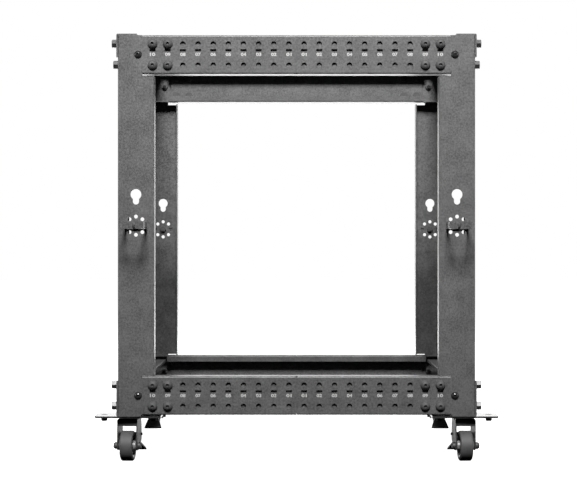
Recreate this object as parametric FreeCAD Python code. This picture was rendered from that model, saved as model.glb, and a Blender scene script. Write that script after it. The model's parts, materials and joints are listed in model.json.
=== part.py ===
"""Open-frame four-post equipment rack, 12 units high, on braked swivel casters.

Each piece of sheet metal, each fastener group and each caster piece is its own node.
The frame stands with its front at -X, its right side at -Y and the floor at Z = 0.
Depth is set by pulling the two half frames apart on four nested slide rails.
Every piece is drawn once, in the rear left quarter (+X, +Y), and mirrored to the others.
"""

import FreeCAD, Part
import math
import os

# ---- driving dimensions, millimetres ------------------------------------------------------
SHEET = 2.0                 # posts, beams and rails
BAR_SHEET = 2.5             # crossbars
OUTER_BEND = 2.5            # outside radius of a bend
INNER_BEND = 0.5            # inside radius of a bend
FIT_GAP = 0.3               # gap between nested or swinging pieces
RAIL_SIDE_GAP = 2.0         # between the webs of a beam and its slide rail
SEAM = 0.12                 # gap where two sheets butt together

DEPTH = 590.0               # outside of front posts to outside of rear posts, closed
WIDTH = 520.0               # outside of left posts to outside of right posts
POST_LOW = 78.0
POST_HIGH = 705.0
POST_WEB = 60.0             # post width along the depth
POST_FLANGE = 34.5          # post width along the rack's width, with the square holes
POST_LIP = 25.0             # stiffening lip on the inner edge of the web
FLANGE_LIP = 15.5           # return on the inner edge of the flange

UNIT = 44.45                # one rack unit
UNITS = 12
UNIT_HOLES = (6.35, 22.225, 38.1)
RAIL_SPACING = 465.1        # between the two columns of square holes
SQUARE_HOLE = 9.5
UNIT_BASE = 135.1           # bottom of the first unit

BEAM_HEIGHT = 64.0
BEAM_FLANGE = 30.0
BEAM_LIP = 12.0
BEAM_CENTRES = {"top": POST_HIGH - BEAM_HEIGHT / 2, "bottom": POST_LOW + BEAM_HEIGHT / 2}
BEAM_NOTCH = 20.0           # how far the post web is cut back beside a beam
NOTCH_SLIT = {"top": 3.8, "bottom": 0.8}   # open slit between the beam and the post web
TAB_HEIGHT = 54.0
COLUMNS = 10                # depth settings along each half beam
COLUMN_PITCH = 25.0
ROW_OFFSET = 17.5           # bolt rows above and below the beam centre
DEPTH_HOLE_R = 4.4
TOP_BOLT_LIFT = 1.5         # crossbar bolts of the top level stand this much higher
SLOT_LENGTH = 10.0
SLOT_WIDTH = 3.8
SLOT_RISE = 7.0

TOP_BAR_DROP = 38.5
TOP_BAR_FLANGE = 33.8
LOW_BAR_HEIGHT = 59.0
LOW_BAR_FLANGE = 40.5
LOW_BAR_LIP = 5.0           # return at the top flange's inner edge

BAR_BOLT_INSET = 12.0       # crossbar bolts, from the outside of the rack's side
POST_SCREW_INSET = 33.5     # beam screw, from the outside of the post's front
KEYHOLE_INSET = 30.0
KEYHOLE_Z = 442.0
KEYHOLE_R = 8.9
KEYSLOT_WIDTH = 10.2
KEYSLOT_DROP = 11.5
RING_Z = 390.5              # hook screw, ringed by eight holes
RING_R = 15.0
RING_HOLES = 8
RING_HOLE_R = 3.1

HOOK_SHEET = 3.6
HOOK_HEIGHT = 11.5
HOOK_WIDTH = 37.0
HOOK_REACH = 60.0
HOOK_MOUTH = 9.5

CASTER_INSET_X = 15.5       # swivel axis, from the outside of the post's front
CASTER_INSET_Y = 31.0       # swivel axis, from the outside of the rack's side
CASTER_HEIGHT = 72.5
FOOT_SHEET = 3.0            # foot plates
BOLT_SEAT = 1.4             # depth of the plate bolts' flush heads
PLATE_LENGTH = 110.0
PLATE_WIDTH = 58.0
PLATE_BOLT = 41.5           # plate bolts, either side of the swivel axis
WHEEL_R = 25.0
TYRE_WIDTH = 21.0
TYRE_DEPTH = 6.0
HUB_WIDTH = 28.0
HUB_BOSS_R = 8.0
AXLE_R = 4.0
TRAIL = 11.0                # wheel axle off the swivel axis, towards the outside of the rack
FORK_SHEET = 2.0
FORK_WIDTH = 34.0
FORK_TOP = 70.2
FORK_WALL_LOW = 58.0
PIVOT_R = 5.0
RACE_R = 14.0
PEDAL_PIN_R = 2.2
PEDAL_BOSS_R = 3.2
PEDAL_PIN = (20.0, 41.0)    # pedal pivot: inwards of the swivel axis, and above the floor
RUNNING = 0.05              # radial clearance of a turning pin
TURNED_IN = {               # degrees that each caster is swivelled, pedal inwards
    "front_right": 4.0,
    "rear_right": 3.0,
    "front_left": 3.0,
    "rear_left": 3.0,
}

ENDS = {"front": -1, "rear": 1}
SIDES = {"right": -1, "left": 1}

# ---- sizes worked out from the above -------------------------------------------------------
END_X = DEPTH / 2
SIDE_Y = WIDTH / 2
INNER_X = END_X - POST_WEB
NOTCH_X = INNER_X + BEAM_NOTCH
CASTER_X = END_X - CASTER_INSET_X
CASTER_Y = SIDE_Y - CASTER_INSET_Y
RAIL_TOP_GAP = SHEET + FIT_GAP
RAIL_OUT = SIDE_Y - SHEET - RAIL_SIDE_GAP
RAIL_IN = SIDE_Y - BEAM_FLANGE + SHEET + FIT_GAP
TAB_OUT = SIDE_Y - SHEET - 0.1
TAB_IN = TAB_OUT - SHEET
X_AXIS = FreeCAD.Vector(1, 0, 0)
Y_AXIS = FreeCAD.Vector(0, 1, 0)
Z_AXIS = FreeCAD.Vector(0, 0, 1)
ORIGIN = FreeCAD.Vector(0, 0, 0)

NODES = {}


# ---- drawing helpers -----------------------------------------------------------------------
def box(x, y, z):
    """A block between the two values given along each axis."""
    size = [abs(b - a) for a, b in (x, y, z)]
    return Part.makeBox(*size, FreeCAD.Vector(min(x), min(y), min(z)))


def cylinder(radius, start, direction, length):
    return Part.makeCylinder(radius, length, FreeCAD.Vector(*start), direction)


def corner(before, at, after, radius):
    """Where a rounded corner starts, its middle and where it ends, in the outline's plane."""
    if not radius:
        return [at]
    into = [(b - a) for a, b in zip(at, before)]
    out = [(b - a) for a, b in zip(at, after)]
    into = [v / math.hypot(*into) for v in into]
    out = [v / math.hypot(*out) for v in out]
    half = math.acos(max(-1.0, min(1.0, into[0] * out[0] + into[1] * out[1]))) / 2
    run = radius / math.tan(half)
    middle = [a + b for a, b in zip(into, out)]
    middle = [v / math.hypot(*middle) for v in middle]
    reach = radius / math.sin(half) - radius
    return [
        [c + run * v for c, v in zip(at, into)],
        [c + reach * v for c, v in zip(at, middle)],
        [c + run * v for c, v in zip(at, out)],
    ]


def outline(points, to_space):
    """A flat face from (u, v, corner radius) points; to_space turns u, v into a vector."""
    flat = [(u, v) for u, v, _ in points]
    last = len(points) - 1
    runs = [
        corner(flat[i - 1], flat[i], flat[0 if i == last else i + 1], points[i][2])
        for i in range(len(points))
    ]
    edges = []
    for i, run in enumerate(runs):
        start = to_space(*runs[i - 1][-1])
        if (to_space(*run[0]) - start).Length > 1e-6:
            edges.append(Part.makeLine(start, to_space(*run[0])))
        if len(run) == 3:
            edges.append(Part.Arc(*[to_space(*p) for p in run]).toShape())
    return Part.Face(Part.Wire(edges))


def along_x(points, x):
    """An outline in Y and Z, pushed from one X to another."""
    face = outline(points, lambda u, v: FreeCAD.Vector(x[0], u, v))
    return face.extrude(X_AXIS * (x[1] - x[0]))


def along_y(points, y):
    """An outline in X and Z, pushed from one Y to another."""
    face = outline(points, lambda u, v: FreeCAD.Vector(u, y[0], v))
    return face.extrude(Y_AXIS * (y[1] - y[0]))


def along_z(points, z):
    """An outline in X and Y, pushed from one Z to another."""
    face = outline(points, lambda u, v: FreeCAD.Vector(u, v, z[0]))
    return face.extrude(Z_AXIS * (z[1] - z[0]))


def turned(points):
    """A solid of revolution about Z, from (radius, height) points."""
    wire = Part.makePolygon([FreeCAD.Vector(r, 0, h) for r, h in points + points[:1]])
    return Part.Face(wire).revolve(ORIGIN, Z_AXIS, 360)


def hexagon(across, height, turn=0):
    """A hexagonal prism standing on Z = 0 with its top corners taken off."""
    radius = across / math.sqrt(3)
    angles = [math.radians(60 * i + turn) for i in range(6)]
    points = [(radius * math.cos(a), radius * math.sin(a), 0) for a in angles]
    cap = turned([(0, 0), (radius, 0), (radius, height - 1.0), (across / 2 - 0.3, height), (0, height)])
    return along_z(points, (0, height)).common(cap)


def hex_bolt(across, head, radius, length, turn=0):
    """Head above Z = 0, shank below."""
    shank = cylinder(radius, (0, 0, -length), Z_AXIS, length)
    return hexagon(across, head, turn).fuse(shank).removeSplitter()


def button_screw(head_r, head, radius, length):
    """A domed head above Z = 0 with a hexagon socket, and a shank below."""
    rim = 0.12 * head
    bulge = (head_r * head_r + (head - rim) ** 2) / (2 * (head - rim))
    dome = Part.makeSphere(bulge, FreeCAD.Vector(0, 0, head - bulge))
    dome = dome.common(cylinder(head_r, (0, 0, 0), Z_AXIS, head))
    socket = hexagon(0.62 * head_r, head)
    socket.translate(Z_AXIS * (0.45 * head))
    shank = cylinder(radius, (0, 0, -length), Z_AXIS, length)
    return dome.fuse(shank).removeSplitter().cut(socket)


def hex_nut(across, height, radius):
    """A nut standing on Z = 0."""
    bore = cylinder(radius, (0, 0, -1), Z_AXIS, height + 2)
    return hexagon(across, height).cut(bore)


def aimed(shape, direction, place):
    """The shape with its +Z turned to a direction, moved to a place."""
    copy = shape.copy()
    turn = FreeCAD.Rotation(Z_AXIS, direction)
    copy.Placement = FreeCAD.Placement(FreeCAD.Vector(*place), turn)
    return copy


def quarter(shape, end, side):
    """A piece drawn at the rear left, mirrored to the given end and side."""
    if end < 0:
        shape = shape.mirror(ORIGIN, X_AXIS)
    if side < 0:
        shape = shape.mirror(ORIGIN, Y_AXIS)
    return shape


def cut_all(shape, cutters):
    return shape.cut(Part.makeCompound(cutters))


def keep(node, *shapes):
    """Adds solids to a node."""
    for shape in shapes:
        NODES.setdefault(node, []).extend(shape.Solids)


# ---- posts ---------------------------------------------------------------------------------
def keyhole():
    """A round hole with a narrower slot below it, through the post web."""
    x = END_X - KEYHOLE_INSET
    start = SIDE_Y - 2 * SHEET
    head = cylinder(KEYHOLE_R, (x, start, KEYHOLE_Z), Y_AXIS, 3 * SHEET)
    low = KEYHOLE_Z - KEYSLOT_DROP
    end = cylinder(KEYSLOT_WIDTH / 2, (x, start, low), Y_AXIS, 3 * SHEET)
    half = KEYSLOT_WIDTH / 2
    slot = box((x - half, x + half), (start, start + 3 * SHEET), (low, KEYHOLE_Z))
    return [head, end, slot]


def post():
    """A lipped channel with square holes in its flange, notched at both ends for the beams."""
    sheet = SHEET
    profile = [
        (INNER_X, SIDE_Y, OUTER_BEND),
        (END_X, SIDE_Y, OUTER_BEND),
        (END_X, SIDE_Y - POST_FLANGE, OUTER_BEND),
        (END_X - FLANGE_LIP, SIDE_Y - POST_FLANGE, 0),
        (END_X - FLANGE_LIP, SIDE_Y - POST_FLANGE + sheet, 0),
        (END_X - sheet, SIDE_Y - POST_FLANGE + sheet, INNER_BEND),
        (END_X - sheet, SIDE_Y - sheet, INNER_BEND),
        (INNER_X + sheet, SIDE_Y - sheet, INNER_BEND),
        (INNER_X + sheet, SIDE_Y - POST_LIP, 0),
        (INNER_X, SIDE_Y - POST_LIP, 0),
    ]
    shape = along_z(profile, (POST_LOW, POST_HIGH))
    reach = (SIDE_Y - POST_FLANGE - 1, SIDE_Y + 1)
    high_clear = POST_HIGH - BEAM_HEIGHT - NOTCH_SLIT["top"]
    low_clear = POST_LOW + BEAM_HEIGHT + NOTCH_SLIT["bottom"]
    cutters = [
        box((INNER_X - 1, NOTCH_X), reach, (high_clear, POST_HIGH + 1)),
        box((INNER_X - 1, NOTCH_X), reach, (POST_LOW - 1, low_clear)),
    ]
    lip = (SIDE_Y - POST_FLANGE - 1, SIDE_Y - POST_FLANGE + OUTER_BEND)
    for height in ((high_clear, POST_HIGH + 1), (POST_LOW - 1, low_clear)):
        cutters.append(box((END_X - FLANGE_LIP - 1, END_X - OUTER_BEND), lip, height))
    half = SQUARE_HOLE / 2
    for unit in range(UNITS):
        for rise in UNIT_HOLES:
            y = RAIL_SPACING / 2
            z = UNIT_BASE + unit * UNIT + rise
            through = (END_X - 2 * sheet, END_X + sheet)
            cutters.append(box(through, (y - half, y + half), (z - half, z + half)))
    x = END_X - KEYHOLE_INSET
    for i in range(RING_HOLES):
        turn = math.radians(i * 360 / RING_HOLES)
        place = (x + RING_R * math.cos(turn), SIDE_Y - 2 * sheet, RING_Z + RING_R * math.sin(turn))
        cutters.append(cylinder(RING_HOLE_R, place, Y_AXIS, 3 * sheet))
    cutters.append(cylinder(RING_HOLE_R, (x, SIDE_Y - 2 * sheet, RING_Z), Y_AXIS, 3 * sheet))
    cutters += keyhole()
    for centre in BEAM_CENTRES.values():
        x = END_X - POST_SCREW_INSET
        cutters.append(cylinder(3.2, (x, SIDE_Y - 2 * sheet, centre), Y_AXIS, 3 * sheet))
        for z in bolt_heights(centre):
            place = (END_X - 2 * sheet, SIDE_Y - BAR_BOLT_INSET, z)
            cutters.append(cylinder(4.2, place, X_AXIS, 3 * sheet))
    return cut_all(shape, cutters)


# ---- beams and slide rails -----------------------------------------------------------------
def beam(centre):
    """Half of a side beam: a lipped channel with numbered hole columns and a tab for the post."""
    low, high = centre - BEAM_HEIGHT / 2, centre + BEAM_HEIGHT / 2
    back = SIDE_Y - BEAM_FLANGE
    sheet = SHEET
    profile = [
        (SIDE_Y, low, OUTER_BEND),
        (SIDE_Y, high, OUTER_BEND),
        (back, high, OUTER_BEND),
        (back, high - BEAM_LIP, 0),
        (back + sheet, high - BEAM_LIP, 0),
        (back + sheet, high - sheet, INNER_BEND),
        (SIDE_Y - sheet, high - sheet, INNER_BEND),
        (SIDE_Y - sheet, low + sheet, INNER_BEND),
        (back + sheet, low + sheet, INNER_BEND),
        (back + sheet, low + BEAM_LIP, 0),
        (back, low + BEAM_LIP, 0),
        (back, low, OUTER_BEND),
    ]
    outer_end = NOTCH_X - SEAM
    shape = along_x(profile, (SEAM / 2, outer_end))
    tab_z = (centre - TAB_HEIGHT / 2, centre + TAB_HEIGHT / 2)
    tab_start = COLUMNS * COLUMN_PITCH + 0.5
    tab_end = END_X - sheet - 0.1
    foot = SIDE_Y - BAR_BOLT_INSET - 10.0
    profile = [
        (tab_start, TAB_OUT, 0),
        (tab_end, TAB_OUT, OUTER_BEND),
        (tab_end, foot, 0),
        (tab_end - sheet, foot, 0),
        (tab_end - sheet, TAB_IN, INNER_BEND),
        (tab_start, TAB_IN, 0),
    ]
    tab = along_z(profile, tab_z)
    joggle = box((tab_start, outer_end), (TAB_IN, SIDE_Y - sheet / 2), tab_z)
    profile = [
        (TAB_OUT, low, OUTER_BEND),
        (TAB_OUT, high, OUTER_BEND),
        (back, high, 0),
        (back, high - sheet, 0),
        (TAB_IN, high - sheet, INNER_BEND),
        (TAB_IN, low + sheet, INNER_BEND),
        (back, low + sheet, 0),
        (back, low, 0),
    ]
    sleeve = along_x(profile, (tab_start, tab_end - sheet - 1.5))
    stem_room = cylinder(12.0, (CASTER_X, CASTER_Y, POST_LOW - 1), Z_AXIS, 18.0)
    shape = shape.fuse([tab, joggle, sleeve.cut(stem_room)]).removeSplitter()
    start = SIDE_Y - 2 * sheet
    cutters = []
    for column in range(COLUMNS):
        x = (column + 0.5) * COLUMN_PITCH
        for rise in (-ROW_OFFSET, ROW_OFFSET):
            cutters.append(cylinder(DEPTH_HOLE_R, (x, start, centre + rise), Y_AXIS, 3 * sheet))
        half = SLOT_LENGTH / 2
        z = centre + SLOT_RISE
        height = (z - SLOT_WIDTH / 2, z + SLOT_WIDTH / 2)
        cutters.append(box((x - half, x + half), (start, start + 3 * sheet), height))
    x = END_X - POST_SCREW_INSET
    cutters.append(cylinder(3.2, (x, TAB_IN - 1, centre), Y_AXIS, 3 * sheet))
    for z in bolt_heights(centre):
        place = (tab_end - 2 * sheet, SIDE_Y - BAR_BOLT_INSET, z)
        cutters.append(cylinder(4.2, place, X_AXIS, 3 * sheet))
    for edge in (low, high):
        cutters.append(cylinder(2.0, (0, SIDE_Y - 2 * sheet, edge), Y_AXIS, 3 * sheet))
    return cut_all(shape, cutters)


def slide_rail(centre):
    """The channel that both half beams of one side slide on, holed only at its two ends."""
    half = BEAM_HEIGHT / 2 - RAIL_TOP_GAP
    sheet = SHEET
    profile = [
        (RAIL_OUT, centre - half, OUTER_BEND),
        (RAIL_OUT, centre + half, OUTER_BEND),
        (RAIL_IN, centre + half, 0),
        (RAIL_IN, centre + half - sheet, 0),
        (RAIL_OUT - sheet, centre + half - sheet, INNER_BEND),
        (RAIL_OUT - sheet, centre - half + sheet, INNER_BEND),
        (RAIL_IN, centre - half + sheet, 0),
        (RAIL_IN, centre - half, 0),
    ]
    length = COLUMNS * COLUMN_PITCH - 1.0
    shape = along_x(profile, (-length, length))
    cutters = []
    for x in depth_bolt_columns():
        for rise in (-ROW_OFFSET, ROW_OFFSET):
            place = (x, RAIL_OUT - 2 * sheet, centre + rise)
            cutters.append(cylinder(DEPTH_HOLE_R, place, Y_AXIS, 3 * sheet))
    return cut_all(shape, cutters)


def depth_bolt_columns():
    """Where the depth bolts stand: the two outermost hole columns of each end."""
    outer = [(COLUMNS - 0.5 - i) * COLUMN_PITCH for i in range(2)]
    return [sign * x for sign in (-1, 1) for x in outer]


# ---- crossbars -----------------------------------------------------------------------------
def bolt_heights(centre):
    """Heights of the two crossbar bolts at the end of the beam with this centre."""
    lift = TOP_BOLT_LIFT if centre == BEAM_CENTRES["top"] else 0.0
    return [centre + lift - ROW_OFFSET, centre + lift + ROW_OFFSET]


def bar_bolt_places():
    """(height, outer face) of each crossbar bolt at one corner of the rack."""
    places = []
    for name, centre in BEAM_CENTRES.items():
        low, high = bolt_heights(centre)
        low_face = END_X + (BAR_SHEET if name == "bottom" else 0)
        places += [(low, low_face), (high, END_X + BAR_SHEET)]
    return places


def bar_holes():
    return [
        cylinder(4.2, (END_X - 1, sign * (SIDE_Y - BAR_BOLT_INSET), z), X_AXIS, 2 * BAR_SHEET)
        for sign in (-1, 1)
        for z, _ in bar_bolt_places()
    ]


def top_crossbar():
    """An angle over the top of two posts."""
    outer = END_X + BAR_SHEET
    high = POST_HIGH + BAR_SHEET
    profile = [
        (outer, high - TOP_BAR_DROP, 0),
        (outer, high, OUTER_BEND),
        (outer - TOP_BAR_FLANGE, high, 0),
        (outer - TOP_BAR_FLANGE, POST_HIGH, 0),
        (END_X, POST_HIGH, 0),
        (END_X, high - TOP_BAR_DROP, 0),
    ]
    return cut_all(along_y(profile, (-SIDE_Y, SIDE_Y)), bar_holes())


def low_crossbar():
    """A channel under two posts, its top flange cut away where the posts stand."""
    outer = END_X + BAR_SHEET
    low = POST_LOW - BAR_SHEET
    high = low + LOW_BAR_HEIGHT
    inner = outer - LOW_BAR_FLANGE
    profile = [
        (outer, low, OUTER_BEND),
        (outer, high, OUTER_BEND),
        (inner, high, 0.8),
        (inner, high - LOW_BAR_LIP, 0),
        (inner + BAR_SHEET, high - LOW_BAR_LIP, 0),
        (inner + BAR_SHEET, high - BAR_SHEET, 0),
        (END_X, high - BAR_SHEET, 0),
        (END_X, POST_LOW, 0),
        (inner, POST_LOW, 0),
        (inner, low, 0),
    ]
    cutters = bar_holes()
    for sign in (-1, 1):
        reach = (sign * (SIDE_Y - POST_FLANGE - 0.5), sign * (SIDE_Y + 1))
        cutters.append(box((inner - 1, END_X), reach, (high - LOW_BAR_LIP - 1, high + 1)))
        cutters.append(cylinder(5.3, (CASTER_X, sign * CASTER_Y, low - 1), Z_AXIS, 5))
    return cut_all(along_y(profile, (-SIDE_Y, SIDE_Y)), cutters)


# ---- cable hooks ---------------------------------------------------------------------------
def hook():
    """A thick flat strip bent to an open rectangular hoop, standing out of the rack's side."""
    x = END_X - KEYHOLE_INSET
    half = HOOK_WIDTH / 2
    sheet = HOOK_SHEET
    near, far = SIDE_Y, SIDE_Y + sheet + HOOK_REACH
    profile = [
        (x - half, near, 4),
        (x - half, far, 3.5),
        (x - HOOK_MOUTH / 2, far, 0.8),
        (x - HOOK_MOUTH / 2, far - sheet, 0.8),
        (x - half + sheet, far - sheet, 1.5),
        (x - half + sheet, near + sheet, 2),
        (x + half - sheet, near + sheet, 2),
        (x + half - sheet, far - sheet, 1.5),
        (x + HOOK_MOUTH / 2, far - sheet, 0.8),
        (x + HOOK_MOUTH / 2, far, 0.8),
        (x + half, far, 3.5),
        (x + half, near, 4),
    ]
    shape = along_z(profile, (RING_Z - HOOK_HEIGHT / 2, RING_Z + HOOK_HEIGHT / 2))
    return shape.cut(cylinder(RING_HOLE_R, (x, near - 1, RING_Z), Y_AXIS, 2 * sheet))


# ---- casters -------------------------------------------------------------------------------
def foot_plate():
    """The plate that carries a caster, reaching past the post as an outrigger."""
    half, side = PLATE_LENGTH / 2, PLATE_WIDTH / 2
    x, y = CASTER_X, CASTER_Y
    profile = [
        (x - half, y - side, 4),
        (x + half, y - side, 8),
        (x + half, y + side, 8),
        (x - half, y + side, 4),
    ]
    plate = along_z(profile, (CASTER_HEIGHT, CASTER_HEIGHT + FOOT_SHEET))
    holes = [cylinder(5.3, (x, y, CASTER_HEIGHT - 1), Z_AXIS, 5)]
    for sign in (-1, 1):
        place = (x + sign * PLATE_BOLT, y, CASTER_HEIGHT - 1)
        holes.append(cylinder(2.7, place, Z_AXIS, 5))
        place = (x + sign * PLATE_BOLT, y, CASTER_HEIGHT + FOOT_SHEET - BOLT_SEAT)
        holes.append(cylinder(5.6, place, Z_AXIS, 3))
    return cut_all(plate, holes)


def stem():
    """Threaded stem, ball race and pivot pin of one caster, on its own axis."""
    under = FORK_TOP - FORK_SHEET
    return turned([
        (0, under - 8.0),
        (8.0, under - 8.0),
        (12.5, under - 4.0),
        (12.5, under - FIT_GAP),
        (PIVOT_R, under - FIT_GAP),
        (PIVOT_R, FORK_TOP + FIT_GAP),
        (12.0, FORK_TOP + FIT_GAP),
        (RACE_R, FORK_TOP + 0.9),
        (RACE_R, CASTER_HEIGHT - 0.8),
        (RACE_R - 0.8, CASTER_HEIGHT),
        (PIVOT_R, CASTER_HEIGHT),
        (PIVOT_R, CASTER_HEIGHT + 19.0),
        (PIVOT_R - 1.0, CASTER_HEIGHT + 20.0),
        (0, CASTER_HEIGHT + 20.0),
    ])


def plate_bolt():
    """A bolt that fills one of the spare foot holes, its head flush with the plate."""
    head = turned([(0, -BOLT_SEAT), (5.5, -BOLT_SEAT), (5.5, -0.2), (5.3, 0), (0, 0)])
    return head.fuse(cylinder(2.5, (0, 0, -10.2), Z_AXIS, 10.0)).removeSplitter()


def caster_fork():
    """A bent fork on the swivel axis, its wheel towards +Y and its pedal towards -Y."""
    half = FORK_WIDTH / 2
    inner = half - FORK_SHEET
    low = 10.0
    section = [
        (-half, low, 0),
        (-half, FORK_TOP, 3),
        (half, FORK_TOP, 3),
        (half, low, 0),
        (inner, low, 0),
        (inner, FORK_TOP - FORK_SHEET, 1.5),
        (-inner, FORK_TOP - FORK_SHEET, 1.5),
        (-inner, low, 0),
    ]
    rear, rise = PEDAL_PIN
    side = [
        (18.0, FORK_TOP, 2.5),
        (TRAIL + 9.0, WHEEL_R + 6.0, 12),
        (TRAIL + 7.0, WHEEL_R - 7.5, 6),
        (TRAIL - 8.0, WHEEL_R - 7.5, 8),
        (-rear - 5.0, rise - 9.0, 6),
        (-rear - 5.0, rise + 7.0, 5),
        (-rear, FORK_TOP, 4),
    ]
    shape = along_x(side, (-half - 1, half + 1)).common(along_y(section, (-60.0, 40.0)))
    height = (FORK_WALL_LOW, FORK_TOP - FORK_SHEET / 2)
    wall = box((-half + 0.5, half - 0.5), (18.0 - FORK_SHEET, 18.0), height)
    shape = shape.fuse(wall.common(along_x(side, (-half, half)))).removeSplitter()
    pin = (-half - 1, -rear, rise)
    holes = [
        cylinder(PIVOT_R + RUNNING, (0, 0, FORK_TOP - 5), Z_AXIS, 8),
        cylinder(AXLE_R + RUNNING, (-half - 1, TRAIL, WHEEL_R), X_AXIS, FORK_WIDTH + 2),
        cylinder(PEDAL_PIN_R + RUNNING, pin, X_AXIS, FORK_WIDTH + 2),
    ]
    return cut_all(shape, holes)


def about_axle(points):
    """Points of (distance from the axle's middle, radius) turned about the wheel axle."""
    shape = turned([(radius, along) for along, radius in points])
    return aimed(shape, X_AXIS, (0, TRAIL, WHEEL_R))


def tyre():
    half = TYRE_WIDTH / 2
    inner = WHEEL_R - TYRE_DEPTH
    crown = [
        (half - 3.0 * (1 - math.sin(turn)), WHEEL_R - 3.0 * (1 - math.cos(turn)))
        for turn in [math.radians(15 * i) for i in range(7)]
    ]
    outer = [(-along, radius) for along, radius in reversed(crown)] + crown
    return about_axle([(-half, inner)] + outer + [(half, inner)])


def wheel_hub():
    """Rim, web and boss of the wheel, bored for the axle."""
    half, rim = TYRE_WIDTH / 2, WHEEL_R - TYRE_DEPTH
    boss, bore = HUB_WIDTH / 2, AXLE_R + RUNNING
    right = [
        (boss, bore),
        (boss, HUB_BOSS_R - 0.8),
        (boss - 0.8, HUB_BOSS_R),
        (half - 4.5, HUB_BOSS_R + 1.0),
        (half - 4.5, rim - 3.5),
        (half - 0.6, rim - 2.4),
        (half, rim),
    ]
    left = [(-along, radius) for along, radius in reversed(right)]
    return about_axle(right + left)


def wheel_axle():
    """Axle bolt with a domed head, and its domed nut."""
    half = FORK_WIDTH / 2
    curve = 4.0
    dome = [
        (half + 3.2 + curve * math.sin(turn), 5.8 - curve + curve * math.cos(turn))
        for turn in [math.radians(15 * i) for i in range(7)]
    ]
    dome = [(half, 5.8)] + dome + [(half + 3.2 + curve, 0)]
    bolt = about_axle([(-half - 4.5, 0), (-half - 4.5, AXLE_R), (half, AXLE_R)] + dome)
    nut = [(-half, AXLE_R + RUNNING), (-half, 5.6)]
    nut += [(-half - 4.0, 5.6), (-half - 4.9, 4.6), (-half - 4.9, AXLE_R + RUNNING)]
    return [bolt, about_axle(nut)]


def brake_pedal():
    """Foot pedal in its pressed place: a boss on a pivot pin, and a flared tread plate."""
    rear, rise = PEDAL_PIN
    inside = FORK_WIDTH / 2 - FORK_SHEET - FIT_GAP
    pin = cylinder(PEDAL_PIN_R, (-FORK_WIDTH / 2 - 2.0, -rear, rise), X_AXIS, FORK_WIDTH + 4.0)
    boss = cylinder(PEDAL_BOSS_R, (-inside, -rear, rise), X_AXIS, 2 * inside)
    run, fall = 0.871, 0.492        # direction of the tread plate, down and away from the wheel
    lower = 2.2
    slope = [
        (-rear - lower * fall, rise + lower * run, 0),
        (-rear - 65.0 * run - lower * fall, rise - 65.0 * fall + lower * run, 1.2),
        (-rear - 65.0 * run, rise - 65.0 * fall - 2.2, 1.2),
        (-rear - 62.0 * run + lower * fall, rise - 62.0 * fall - lower * run, 1.0),
        (-rear + lower * fall, rise - lower * run, 0),
    ]
    slab = along_x(slope, (-30.0, 30.0))
    flare = [
        (-9.6, rise + 8.0, 0),
        (-9.6, 25.0, 6),
        (-16.6, 8.8, 1.5),
        (-16.6, 2.0, 0),
        (16.6, 2.0, 0),
        (16.6, 8.8, 1.5),
        (9.6, 25.0, 6),
        (9.6, rise + 8.0, 0),
    ]
    tread = slab.common(along_y(flare, (-95.0, 0.0)))
    return tread.fuse([boss, pin]).removeSplitter()


def in_place(shape, corner_name):
    """A caster piece swivelled as it stands and moved under the rear left post."""
    copy = shape.copy()
    copy.rotate(ORIGIN, Z_AXIS, -TURNED_IN[corner_name])
    copy.translate(FreeCAD.Vector(CASTER_X, CASTER_Y, 0))
    return copy


# ---- the whole rack ------------------------------------------------------------------------
def add_frame_quarter(corner_name, end, side):
    """Sheet pieces of one corner."""
    keep("post_" + corner_name, quarter(post(), end, side))
    for level, centre in BEAM_CENTRES.items():
        keep("beam_%s_%s" % (level, corner_name), quarter(beam(centre), end, side))
    keep("cable_hook_" + corner_name, quarter(hook(), end, side))
    keep("foot_plate_" + corner_name, quarter(foot_plate(), end, side))


def add_fasteners(end_name, end, side):
    """Bolts, screws and nuts of one corner, grouped by end of the rack."""
    bolt_y = SIDE_Y - BAR_BOLT_INSET
    nut_m8 = hex_nut(13.0, 6.5, 4.05)
    for z, face in bar_bolt_places():
        bolt = hex_bolt(13.0, 8.3, 4.0, face - END_X + 15.0, turn=30)
        bolt = aimed(bolt, X_AXIS, (face, bolt_y, z))
        keep("crossbar_bolts_" + end_name, quarter(bolt, end, side))
        nut = aimed(nut_m8, X_AXIS * -1, (END_X - 2 * SHEET - 0.1, bolt_y, z))
        keep("frame_nuts_" + end_name, quarter(nut, end, side))
    nut_m6 = hex_nut(10.0, 5.0, 3.05)
    for centre in BEAM_CENTRES.values():
        x = END_X - POST_SCREW_INSET
        screw = aimed(button_screw(6.5, 4.5, 3.0, 12.0), Y_AXIS, (x, SIDE_Y, centre))
        keep("post_screws_" + end_name, quarter(screw, end, side))
        nut = aimed(nut_m6, Y_AXIS * -1, (x, TAB_IN, centre))
        keep("frame_nuts_" + end_name, quarter(nut, end, side))
    x = END_X - KEYHOLE_INSET
    screw = aimed(button_screw(6.0, 4.0, 3.0, 12.5), Y_AXIS, (x, SIDE_Y + HOOK_SHEET, RING_Z))
    keep("hook_screws_" + end_name, quarter(screw, end, side))
    nut = aimed(nut_m6, Y_AXIS * -1, (x, SIDE_Y - SHEET, RING_Z))
    keep("frame_nuts_" + end_name, quarter(nut, end, side))


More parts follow.
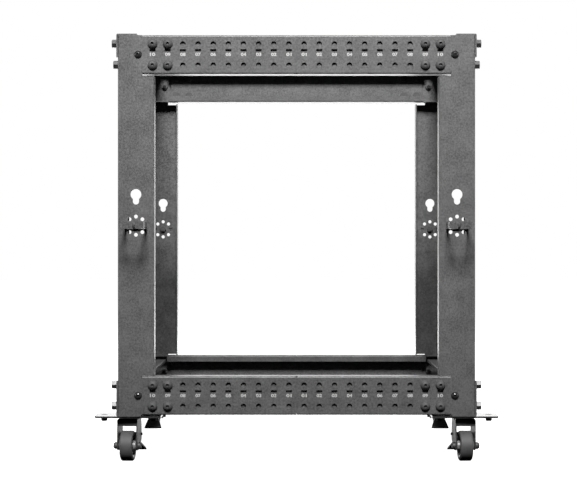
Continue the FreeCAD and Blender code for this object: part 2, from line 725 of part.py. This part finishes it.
def add_caster(corner_name, end_name, end, side):
    """One caster, with the stem, bolts and nuts that hold it."""
    wheel = {
        "caster_fork_": [caster_fork()],
        "caster_tyre_": [tyre()],
        "caster_hub_": [wheel_hub()],
        "caster_axle_": wheel_axle(),
        "brake_pedal_": [brake_pedal()],
    }
    for name, shapes in wheel.items():
        for shape in shapes:
            keep(name + corner_name, quarter(in_place(shape, corner_name), end, side))
    nut = aimed(hex_nut(16.0, 8.0, PIVOT_R + RUNNING), Z_AXIS, (CASTER_X, CASTER_Y, POST_LOW))
    keep("frame_nuts_" + end_name, quarter(nut, end, side))
    keep("caster_stems_" + end_name, quarter(in_place(stem(), corner_name), end, side))
    for sign in (-1, 1):
        x = CASTER_X + sign * PLATE_BOLT
        bolt = aimed(plate_bolt(), Z_AXIS, (x, CASTER_Y, CASTER_HEIGHT + FOOT_SHEET))
        keep("caster_stems_" + end_name, quarter(bolt, end, side))
        nut = aimed(hex_nut(9.0, 7.4, 2.55), Z_AXIS * -1, (x, CASTER_Y, CASTER_HEIGHT))
        keep("frame_nuts_" + end_name, quarter(nut, end, side))


def add_slides(side_name, side):
    """Slide rails of one side, with the bolts that set the depth."""
    for level, centre in BEAM_CENTRES.items():
        rail = quarter(slide_rail(centre), 1, side)
        keep("slide_rail_%s_%s" % (level, side_name), rail)
        for x in depth_bolt_columns():
            for rise in (-ROW_OFFSET, ROW_OFFSET):
                head = (x, SIDE_Y + FIT_GAP, centre + rise)
                bolt = aimed(button_screw(8.2, 6.6, 4.0, 16.0), Y_AXIS, head)
                keep("depth_bolts", quarter(bolt, 1, side))
                seat = (x, RAIL_OUT - SHEET, centre + rise)
                nut = aimed(hex_nut(13.0, 6.5, 4.05), Y_AXIS * -1, seat)
                keep("depth_nuts", quarter(nut, 1, side))


def build():
    for end_name, end in ENDS.items():
        keep("crossbar_top_" + end_name, quarter(top_crossbar(), end, 1))
        keep("crossbar_bottom_" + end_name, quarter(low_crossbar(), end, 1))
        for side_name, side in SIDES.items():
            corner_name = "%s_%s" % (end_name, side_name)
            add_frame_quarter(corner_name, end, side)
            add_fasteners(end_name, end, side)
            add_caster(corner_name, end_name, end, side)
    for side_name, side in SIDES.items():
        add_slides(side_name, side)


def write():
    os.makedirs("parts", exist_ok=True)
    for node, solids in NODES.items():
        shape = solids[0] if len(solids) == 1 else Part.makeCompound(solids)
        shape.exportStep("parts/%s.step" % node)
    print(len(NODES), "nodes,", sum(len(solids) for solids in NODES.values()), "solids")


build()
write()
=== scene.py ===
"""Looks of the open-frame equipment rack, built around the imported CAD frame. Metres throughout."""
import json
import math

import bpy
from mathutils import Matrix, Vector


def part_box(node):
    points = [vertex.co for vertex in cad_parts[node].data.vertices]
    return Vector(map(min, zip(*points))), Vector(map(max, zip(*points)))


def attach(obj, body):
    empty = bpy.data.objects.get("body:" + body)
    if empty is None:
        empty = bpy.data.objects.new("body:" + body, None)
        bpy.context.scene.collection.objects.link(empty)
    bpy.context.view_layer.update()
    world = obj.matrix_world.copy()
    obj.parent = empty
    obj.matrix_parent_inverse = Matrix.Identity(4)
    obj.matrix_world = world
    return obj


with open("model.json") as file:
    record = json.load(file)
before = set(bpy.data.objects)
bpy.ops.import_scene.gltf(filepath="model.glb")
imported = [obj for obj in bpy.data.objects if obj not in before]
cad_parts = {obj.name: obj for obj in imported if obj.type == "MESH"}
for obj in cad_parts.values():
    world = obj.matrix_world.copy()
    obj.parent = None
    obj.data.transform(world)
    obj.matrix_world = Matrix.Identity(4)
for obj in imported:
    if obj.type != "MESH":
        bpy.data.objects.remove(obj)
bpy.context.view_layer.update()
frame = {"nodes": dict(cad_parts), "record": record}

MM = 0.001
ENDS = {"front": -1, "rear": 1}
SIDES = {"right": -1, "left": 1}
LEVELS = ("top", "bottom")

# ---- beam numbers ---------------------------------------------------------------------------
COLUMNS = 10
COLUMN_PITCH = 25 * MM
NUMBER_HEIGHT = 5.6 * MM
NUMBER_WIDTH = 8.9 * MM
NUMBER_RISE = 0.2 * MM        # above the middle of the beam
PRINT_THICKNESS = 0.05 * MM
STROKE_SWELL = 0.042          # fattens the digits, in font units
CURVE_STEPS = 6               # for each curved stretch of a digit

# ---- camera ---------------------------------------------------------------------------------
CAMERA_DISTANCE = 2.539     # from the near side of the posts
CAMERA_HEIGHT = 0.3548
CAMERA_LENS = 96.0          # millimetres, like the sensor's width
CAMERA_SENSOR = 36.0
CAMERA_SHIFT = (-0.0139, 0.0144)

# ---- lights ---------------------------------------------------------------------------------
KEY_PLACE = (0.0, -3.0, 3.15)
KEY_AIM = (0.0, -0.26, 0.9)
KEY_SPREAD = 60             # degrees
KEY_SIZE = 1.0
KEY_POWER = 40.0
FILL_PLACE = (0.0, -3.2, 0.4)
FILL_SIZE = (3.0, 2.0)
FILL_POWER = 0.6
WING_DISTANCE = 3.0         # soft boxes off the rack's front and rear
WING_HEIGHT = 1.1
WING_SIZE = 1.6
WING_POWER = 34.0
BACKDROP_PLACE = (0.0, 3.0, 0.45)
BACKDROP_SIZE = (2.2, 1.8)
BACKDROP_POWER = 30.0
SWEEP_PLACE = (0.0, 1.9, 0.01)
SWEEP_SIZE = (2.2, 2.8)
SWEEP_POWER = 58.0
LIGHTS_AIM = (0.0, -0.1, 0.4)
SKY_STRENGTH = 1.0

# ---- floor ----------------------------------------------------------------------------------
FLOOR_SIZE = 30.0
FLOOR_PALENESS = 0.92
FLOOR_ROUGHNESS = 0.9
FLOOR_GLOW = 1.0

# ---- texture grain: features per metre --------------------------------------------------------
PEBBLES = 900.0
MOTTLE = 300.0
CLOUDS = 40.0
DRAWING_MARKS = 900.0
PATCHES = 160.0
DUST = 90.0
INK_GAPS = 900.0
NOISE_LOW, NOISE_HIGH = 0.3, 0.7    # noise seldom leaves this range


# ---- materials ------------------------------------------------------------------------------
def node(tree, kind, inputs=None, **settings):
    """Adds a shader node; inputs are values or the sockets that feed it, by input name."""
    made = tree.nodes.new(kind)
    for name, value in settings.items():
        setattr(made, name, value)
    for name, value in (inputs or {}).items():
        if isinstance(value, bpy.types.NodeSocket):
            tree.links.new(value, made.inputs[name])
        else:
            made.inputs[name].default_value = value
    return made


def new_material(name, roughness, metallic=0.0, specular=0.5):
    """A Principled material; returns its tree, its shader node and its object coordinates."""
    material = bpy.data.materials.new(name)
    material.use_nodes = True
    tree = material.node_tree
    shader = tree.nodes["Principled BSDF"]
    shader.inputs["Roughness"].default_value = roughness
    shader.inputs["Metallic"].default_value = metallic
    shader.inputs["Specular IOR Level"].default_value = specular
    place = node(tree, "ShaderNodeTexCoord").outputs["Object"]
    return material, tree, shader, place


def speckle(tree, place, scale, detail=2.0, roughness=0.5):
    """Noise with the given number of features per metre."""
    made = node(tree, "ShaderNodeTexNoise",
                {"Vector": place, "Scale": scale, "Detail": detail, "Roughness": roughness})
    return made.outputs["Fac"]


def blend_colours(tree, factor, dark, light, low=NOISE_LOW, high=NOISE_HIGH):
    """A colour between dark and light, as the factor goes from low to high."""
    ramp = node(tree, "ShaderNodeValToRGB", {"Fac": factor})
    ramp.color_ramp.elements[0].position = low
    ramp.color_ramp.elements[0].color = (*dark, 1)
    ramp.color_ramp.elements[1].position = high
    ramp.color_ramp.elements[1].color = (*light, 1)
    return ramp.outputs["Color"]


def between(tree, factor, low, high):
    """A number between low and high, as the factor goes over the noise's range."""
    made = node(tree, "ShaderNodeMapRange", {
        "Value": factor, "From Min": NOISE_LOW, "From Max": NOISE_HIGH,
        "To Min": low, "To Max": high})
    return made.outputs["Result"]


def bump(tree, shader, height, depth, strength):
    """Raises the surface by up to depth metres."""
    made = node(tree, "ShaderNodeBump",
                {"Height": height, "Distance": depth, "Strength": strength})
    tree.links.new(made.outputs["Normal"], shader.inputs["Normal"])


def grey(level, warmth=0.0):
    """A grey, with a little more red and less blue if it has warmth."""
    return (level * (1 + warmth), level, level * (1 - warmth))


def powder_coat(name, level, roughness):
    """Fine-textured powder coat: pebbled, slightly mottled skin over faint larger clouds."""
    material, tree, shader, place = new_material(name, roughness)
    pebbles = speckle(tree, place, PEBBLES, roughness=0.6)
    mottle = speckle(tree, place, MOTTLE, roughness=0.6)
    clouds = speckle(tree, place, CLOUDS)
    rough = node(tree, "ShaderNodeMath", {0: pebbles, 1: mottle}, operation="ADD")
    total = node(tree, "ShaderNodeMath", {0: clouds, 1: 0.5, 2: rough.outputs[0]},
                 operation="MULTIPLY_ADD")
    share = node(tree, "ShaderNodeMath", {0: total.outputs[0], 1: 0.4}, operation="MULTIPLY")
    colour = blend_colours(tree, share.outputs[0], grey(level * 0.52), grey(level * 1.48),
                           low=0.38, high=0.62)
    tree.links.new(colour, shader.inputs["Base Color"])
    tree.links.new(between(tree, mottle, roughness - 0.05, roughness + 0.05),
                   shader.inputs["Roughness"])
    bump(tree, shader, rough.outputs[0], 0.2 * MM, 0.5)
    return material


def coated_steel(name, level, roughness, metallic=0.0):
    """Thin smooth coat on pressed or turned steel, with faint drawing marks."""
    material, tree, shader, place = new_material(name, roughness, metallic)
    stretched = node(tree, "ShaderNodeMapping", {"Vector": place, "Scale": (1.0, 1.0, 0.12)})
    marks = speckle(tree, stretched.outputs[0], DRAWING_MARKS, detail=3.0)
    patches = speckle(tree, place, PATCHES)
    colour = blend_colours(tree, patches, grey(level * 0.8), grey(level * 1.2))
    tree.links.new(colour, shader.inputs["Base Color"])
    tree.links.new(between(tree, marks, roughness - 0.08, roughness + 0.08),
                   shader.inputs["Roughness"])
    bump(tree, shader, marks, 0.05 * MM, 0.35)
    return material


def moulded(name, level, roughness, grain):
    """Moulded plastic or rubber with a spark-eroded grain."""
    material, tree, shader, place = new_material(name, roughness)
    fine = speckle(tree, place, grain)
    dust = speckle(tree, place, DUST, detail=3.0)
    colour = blend_colours(tree, dust, grey(level * 0.88), grey(level * 1.15))
    tree.links.new(colour, shader.inputs["Base Color"])
    tree.links.new(between(tree, dust, roughness - 0.06, roughness + 0.06),
                   shader.inputs["Roughness"])
    bump(tree, shader, fine, 0.08 * MM, 0.4)
    return material


def printed_ink(name):
    """Screen-printed off-white ink over the pebbled coat, thin in places."""
    material, tree, shader, place = new_material(name, roughness=0.6)
    thin = speckle(tree, place, INK_GAPS)
    colour = blend_colours(tree, thin, grey(0.25), grey(0.42, warmth=0.01), high=0.55)
    tree.links.new(colour, shader.inputs["Base Color"])
    bump(tree, shader, thin, 0.05 * MM, 0.4)
    return material


# Each finish: its colour's level, its roughness, then how metallic it is or how fine its grain.
MATERIALS = {
    "frame_paint": powder_coat("frame_paint", 0.085, 0.38),
    "rail_paint": powder_coat("rail_paint", 0.085, 0.38),
    "foot_paint": coated_steel("foot_paint", 0.03, 0.24),
    "hook_paint": powder_coat("hook_paint", 0.085, 0.26),
    "black_fastener": coated_steel("black_fastener", 0.055, 0.68),
    "bolt_steel": coated_steel("bolt_steel", 0.09, 0.37, 0.6),
    "screw_steel": coated_steel("screw_steel", 0.022, 0.22),
    "caster_steel": coated_steel("caster_steel", 0.042, 0.48),
    "zinc": coated_steel("zinc", 0.06, 0.5, 0.4),
    "tyre_rubber": moulded("tyre_rubber", 0.06, 0.62, 1500.0),
    "hub_plastic": moulded("hub_plastic", 0.15, 0.36, 2200.0),
    "pedal_plastic": moulded("pedal_plastic", 0.008, 0.5, 1800.0),
    "number_print": printed_ink("number_print"),
}


# Nodes with a glossier finish than the rest of their slot, by the first two words of their names.
OWN_FINISHES = {
    "foot_plate": "foot_paint",
    "crossbar_bolts": "bolt_steel",
    "post_screws": "screw_steel",
}


def dress(piece, slot):
    """Gives a piece one of the record's finishes."""
    piece.data.materials.clear()
    piece.data.materials.append(MATERIALS[slot])
    return piece


def dress_frame():
    """Puts the finishes on the CAD pieces, which keep their shapes."""
    slots = {part["node"]: part["material_slot"] for part in frame["record"]["subparts"]}
    for name, piece in frame["nodes"].items():
        kind = "_".join(name.split("_")[:2])
        dress(piece, OWN_FINISHES.get(kind, slots[name]))


# ---- printing the beam numbers ----------------------------------------------------------------
def number_mesh(text):
    """Flat raised digits, centred on the origin and upright along Y, as a bare mesh."""
    curve = bpy.data.curves.new("digits", "FONT")
    curve.body = text
    curve.extrude = PRINT_THICKNESS / 2
    curve.offset = STROKE_SWELL
    curve.resolution_u = CURVE_STEPS
    holder = bpy.data.objects.new("digits", curve)
    bpy.context.scene.collection.objects.link(holder)
    bpy.context.view_layer.update()
    mesh = bpy.data.meshes.new_from_object(holder)
    bpy.data.objects.remove(holder)
    low = [min(v.co[i] for v in mesh.vertices) for i in range(2)]
    high = [max(v.co[i] for v in mesh.vertices) for i in range(2)]
    width, height = high[0] - low[0], high[1] - low[1]
    for v in mesh.vertices:
        v.co.x = (v.co.x - (low[0] + high[0]) / 2) * NUMBER_WIDTH / width
        v.co.y = (v.co.y - (low[1] + high[1]) / 2) * NUMBER_HEIGHT / height
    return mesh


def number_row(level, end, side):
    """The numbers 01 to 10 on one half beam's outer face, counted from the rack's middle."""
    low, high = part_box("beam_%s_%s_%s" % (level, end, side))
    out = SIDES[side]
    face_y = (high.y if out > 0 else low.y) + out * PRINT_THICKNESS / 2
    z = (low.z + high.z) / 2 + NUMBER_RISE
    points, faces = [], []
    for column in range(1, COLUMNS + 1):
        x = ENDS[end] * (column - 0.5) * COLUMN_PITCH
        digits = number_mesh("%02d" % column)
        first = len(points)
        points += [(x - out * v.co.x, face_y + out * v.co.z, z + v.co.y) for v in digits.vertices]
        faces += [[first + i for i in polygon.vertices] for polygon in digits.polygons]
        bpy.data.meshes.remove(digits)
    mesh = bpy.data.meshes.new("numbers")
    mesh.from_pydata(points, [], faces)
    piece = bpy.data.objects.new("numbers_%s_%s_%s" % (level, end, side), mesh)
    bpy.context.scene.collection.objects.link(piece)
    dress(piece, "number_print")
    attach(piece, end + "_frame")


# ---- stage ----------------------------------------------------------------------------------
def pale_floor():
    """A plain white floor that neither lights the rack nor shows in its gloss."""
    half = FLOOR_SIZE / 2
    mesh = bpy.data.meshes.new("floor")
    mesh.from_pydata([(-half, -half, 0), (half, -half, 0), (half, half, 0), (-half, half, 0)],
                     [], [(0, 1, 2, 3)])
    floor = bpy.data.objects.new("floor", mesh)
    bpy.context.scene.collection.objects.link(floor)
    material = bpy.data.materials.new("pale_floor")
    material.use_nodes = True
    shader = material.node_tree.nodes["Principled BSDF"]
    shader.inputs["Base Color"].default_value = (*grey(FLOOR_PALENESS), 1)
    shader.inputs["Roughness"].default_value = FLOOR_ROUGHNESS
    shader.inputs["Emission Color"].default_value = (1, 1, 1, 1)
    shader.inputs["Emission Strength"].default_value = FLOOR_GLOW
    mesh.materials.append(material)
    floor.visible_diffuse = False
    floor.visible_glossy = False


def soft_box(name, place, aim, size, power):
    """A rectangular light that the camera doesn't see."""
    light = bpy.data.lights.new(name, "AREA")
    light.shape = "RECTANGLE"
    light.size, light.size_y = size
    light.energy = power
    holder = bpy.data.objects.new(name, light)
    holder.location = place
    holder.rotation_euler = (Vector(aim) - holder.location).to_track_quat("-Z", "Y").to_euler()
    holder.visible_camera = False
    bpy.context.scene.collection.objects.link(holder)
    return holder


def lights():
    """A high key on the near side, a weak low fill, a soft box off each end, and a white
    backdrop and floor sweep on the far side, which edges and lips catch."""
    world = bpy.data.worlds.new("studio")
    bpy.context.scene.world = world
    world.use_nodes = True
    sky = world.node_tree.nodes["Background"]
    sky.inputs["Color"].default_value = (1, 1, 1, 1)
    sky.inputs["Strength"].default_value = SKY_STRENGTH
    world.cycles_visibility.diffuse = False
    world.cycles_visibility.glossy = False
    key = soft_box("key", KEY_PLACE, KEY_AIM, (KEY_SIZE, KEY_SIZE), KEY_POWER)
    key.data.spread = math.radians(KEY_SPREAD)
    straight_across = (BACKDROP_PLACE[0], 0.0, BACKDROP_PLACE[2])
    soft_box("backdrop", BACKDROP_PLACE, straight_across, BACKDROP_SIZE, BACKDROP_POWER)
    straight_up = (SWEEP_PLACE[0], SWEEP_PLACE[1], 1.0)
    sweep = soft_box("sweep", SWEEP_PLACE, straight_up, SWEEP_SIZE, SWEEP_POWER)
    sweep.visible_diffuse = False
    soft_box("fill", FILL_PLACE, LIGHTS_AIM, FILL_SIZE, FILL_POWER)
    for end, sign in ENDS.items():
        place = (sign * WING_DISTANCE, 0.0, WING_HEIGHT)
        soft_box("wing_" + end, place, LIGHTS_AIM, (WING_SIZE, WING_SIZE), WING_POWER)


def camera():
    """A long lens square on to the near side, level, with its frame shifted on to the rack."""
    near_side = min(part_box("post_%s_right" % end)[0].y for end in ENDS)
    data = bpy.data.cameras.new("camera")
    data.lens = CAMERA_LENS
    data.sensor_width = CAMERA_SENSOR
    data.shift_x, data.shift_y = CAMERA_SHIFT
    holder = bpy.data.objects.new("camera", data)
    holder.location = (0, near_side - CAMERA_DISTANCE, CAMERA_HEIGHT)
    holder.rotation_euler = (math.radians(90), 0, 0)      # looks along +Y
    bpy.context.scene.collection.objects.link(holder)
    bpy.context.scene.camera = holder


camera()
lights()
pale_floor()
dress_frame()
for level in LEVELS:
    for end in ENDS:
        for side in SIDES:
            number_row(level, end, side)

bpy.context.scene.view_settings.view_transform = "Standard"
